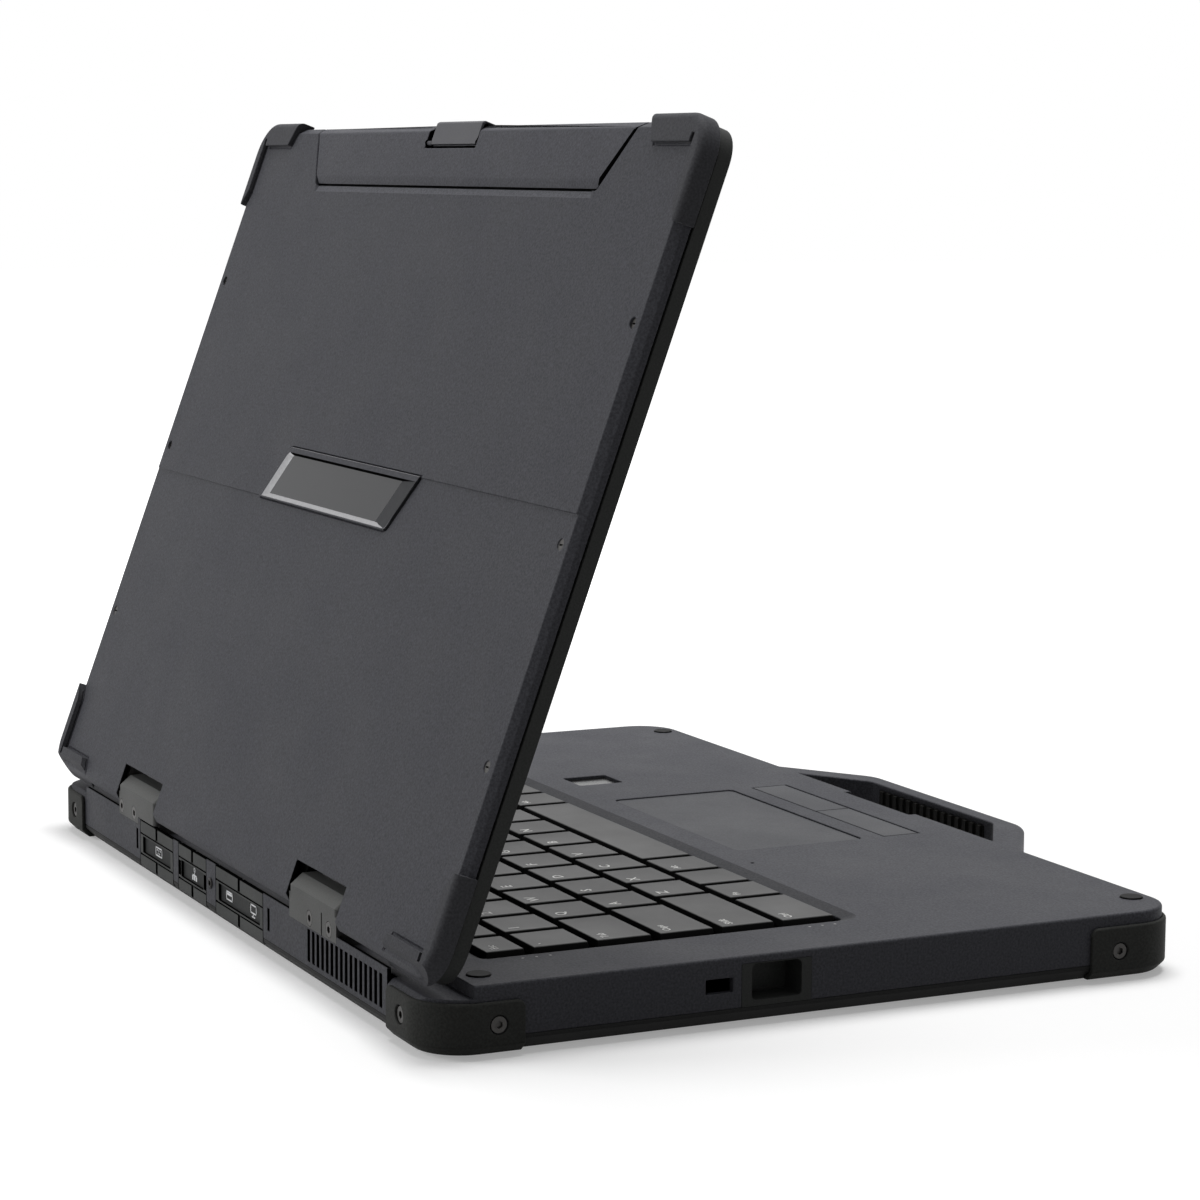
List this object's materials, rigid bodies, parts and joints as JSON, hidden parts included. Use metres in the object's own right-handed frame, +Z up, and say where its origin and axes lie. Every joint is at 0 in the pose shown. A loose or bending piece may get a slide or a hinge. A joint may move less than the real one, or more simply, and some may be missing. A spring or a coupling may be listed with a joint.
{
  "type": "laptop computer",
  "caption": "Semi-rugged clamshell laptop with a fixed front carry handle, rubber corner bumpers, covered rear ports, island keyboard, touchpad and a latched hinged lid.",
  "frame": {"origin": "on the floor below the middle of the whole object as it stands with its lid open", "axes": "+X to the user's right, +Y towards the rear, +Z up"},
  "size_m": [0.3348, 0.2582, 0.2418],
  "materials": {
    "case_paint": "matt fine-grained dark grey paint",
    "cover_paint": "matt black paint",
    "hinge_paint": "matt grey paint",
    "dark_plastic": "matt black moulding",
    "trim_plastic": "matt grey moulding",
    "gloss_black": "polished black",
    "rubber": "matt black rubber",
    "key_plastic": "matt dark grey moulding",
    "steel": "dark plated steel",
    "socket_shell": "plated steel",
    "socket_plastic": "black moulding",
    "screen_glass": "anti-glare glass",
    "board": "solder mask",
    "battery": "shrink wrap",
    "copper": "bare copper"
  },
  "bodies": {
    "base": {"top_case": "case_paint", "rear_panel": "case_paint", "carry_handle": "case_paint", "bottom_cover": "cover_paint", "hinge_housing_left": "hinge_paint", "hinge_housing_right": "hinge_paint", "side_bay": "dark_plastic", "keyboard_tray": "dark_plastic", "fan_housing": "dark_plastic", "speakers": "dark_plastic", "touchpad": "trim_plastic", "fingerprint_reader": "gloss_black", "rubber_feet": "rubber", "deck_pads": "rubber", "base_bumpers_front": "rubber", "base_bumpers_rear": "rubber", "handle_grip": "rubber", "bottom_screws": "steel", "case_screws": "steel", "usb_socket": "socket_shell", "video_socket": "socket_shell", "side_usb_sockets": "socket_shell", "serial_socket": "socket_shell", "network_socket": "socket_plastic", "power_inlet": "socket_plastic", "headset_jack": "socket_plastic", "main_board": "board", "memory_module": "board", "storage_drive": "board", "battery_pack": "battery", "heat_sink": "copper"},
    "keys_function_row": {"keys_function_row": "key_plastic"},
    "keys_number_row": {"keys_number_row": "key_plastic"},
    "keys_upper_row": {"keys_upper_row": "key_plastic"},
    "keys_home_row": {"keys_home_row": "key_plastic"},
    "keys_lower_row": {"keys_lower_row": "key_plastic"},
    "keys_bottom_row": {"keys_bottom_row": "key_plastic"},
    "space_bar": {"space_bar": "key_plastic"},
    "touchpad_button_left": {"touchpad_button_left": "trim_plastic"},
    "touchpad_button_right": {"touchpad_button_right": "trim_plastic"},
    "power_button": {"power_button": "trim_plastic"},
    "serial_cover": {"serial_cover": "dark_plastic"},
    "network_cover": {"network_cover": "dark_plastic"},
    "usb_video_cover": {"usb_video_cover": "dark_plastic"},
    "fan_rotor": {"fan_rotor": "dark_plastic"},
    "lid": {"lid_back_cover": "case_paint", "lid_bezel": "dark_plastic", "lid_top_panel": "case_paint", "lid_bumpers_top": "rubber", "lid_bumpers_bottom": "rubber", "lid_screws": "steel", "badge_frame": "trim_plastic", "badge_window": "gloss_black", "screen_glass": "screen_glass", "display_panel": "gloss_black", "camera_module": "gloss_black", "hinge_brackets": "steel", "hinge_pins": "steel"},
    "latch": {"lid_latch": "case_paint"}
  },
  "joints": [
    {"name": "lid_hinge", "type": "hinge", "parent": "base", "child": "lid", "pos_m": [0, 0.12182, 0.024], "axis": [-1, 0, 0], "range_deg": [-70, 65]},
    {"name": "latch_hinge", "type": "hinge", "parent": "lid", "child": "latch", "pos_m": [0, 0.0503, 0.23454], "axis": [-1, 0, 0], "range_deg": [0, 35]},
    {"name": "press_keys_function_row", "type": "slide", "parent": "base", "child": "keys_function_row", "axis": [0, 0, -1], "range_m": [0, 0.0018], "stiffness_N_per_m": 3000},
    {"name": "press_keys_number_row", "type": "slide", "parent": "base", "child": "keys_number_row", "axis": [0, 0, -1], "range_m": [0, 0.0018], "stiffness_N_per_m": 3000},
    {"name": "press_keys_upper_row", "type": "slide", "parent": "base", "child": "keys_upper_row", "axis": [0, 0, -1], "range_m": [0, 0.0018], "stiffness_N_per_m": 3000},
    {"name": "press_keys_home_row", "type": "slide", "parent": "base", "child": "keys_home_row", "axis": [0, 0, -1], "range_m": [0, 0.0018], "stiffness_N_per_m": 3000},
    {"name": "press_keys_lower_row", "type": "slide", "parent": "base", "child": "keys_lower_row", "axis": [0, 0, -1], "range_m": [0, 0.0018], "stiffness_N_per_m": 3000},
    {"name": "press_keys_bottom_row", "type": "slide", "parent": "base", "child": "keys_bottom_row", "axis": [0, 0, -1], "range_m": [0, 0.0018], "stiffness_N_per_m": 3000},
    {"name": "press_space_bar", "type": "slide", "parent": "base", "child": "space_bar", "axis": [0, 0, -1], "range_m": [0, 0.0018], "stiffness_N_per_m": 400},
    {"name": "press_touchpad_button_left", "type": "slide", "parent": "base", "child": "touchpad_button_left", "axis": [0, 0, -1], "range_m": [0, 0.0006], "stiffness_N_per_m": 1000},
    {"name": "press_touchpad_button_right", "type": "slide", "parent": "base", "child": "touchpad_button_right", "axis": [0, 0, -1], "range_m": [0, 0.0006], "stiffness_N_per_m": 1000},
    {"name": "press_power_button", "type": "slide", "parent": "base", "child": "power_button", "axis": [0, 0, -1], "range_m": [0, 0.0008], "stiffness_N_per_m": 1000},
    {"name": "serial_cover_hinge", "type": "hinge", "parent": "base", "child": "serial_cover", "pos_m": [0, 0.12622, 0.0044], "axis": [-1, 0, 0], "range_deg": [0, 90]},
    {"name": "network_cover_hinge", "type": "hinge", "parent": "base", "child": "network_cover", "pos_m": [0, 0.12622, 0.0044], "axis": [-1, 0, 0], "range_deg": [0, 90]},
    {"name": "usb_video_cover_hinge", "type": "hinge", "parent": "base", "child": "usb_video_cover", "pos_m": [0, 0.12622, 0.0044], "axis": [-1, 0, 0], "range_deg": [0, 90]},
    {"name": "fan_spin", "type": "hinge", "parent": "base", "child": "fan_rotor", "pos_m": [-0.104, 0.07352, 0.0065], "axis": [0, 0, 1], "continuous": true}
  ]
}
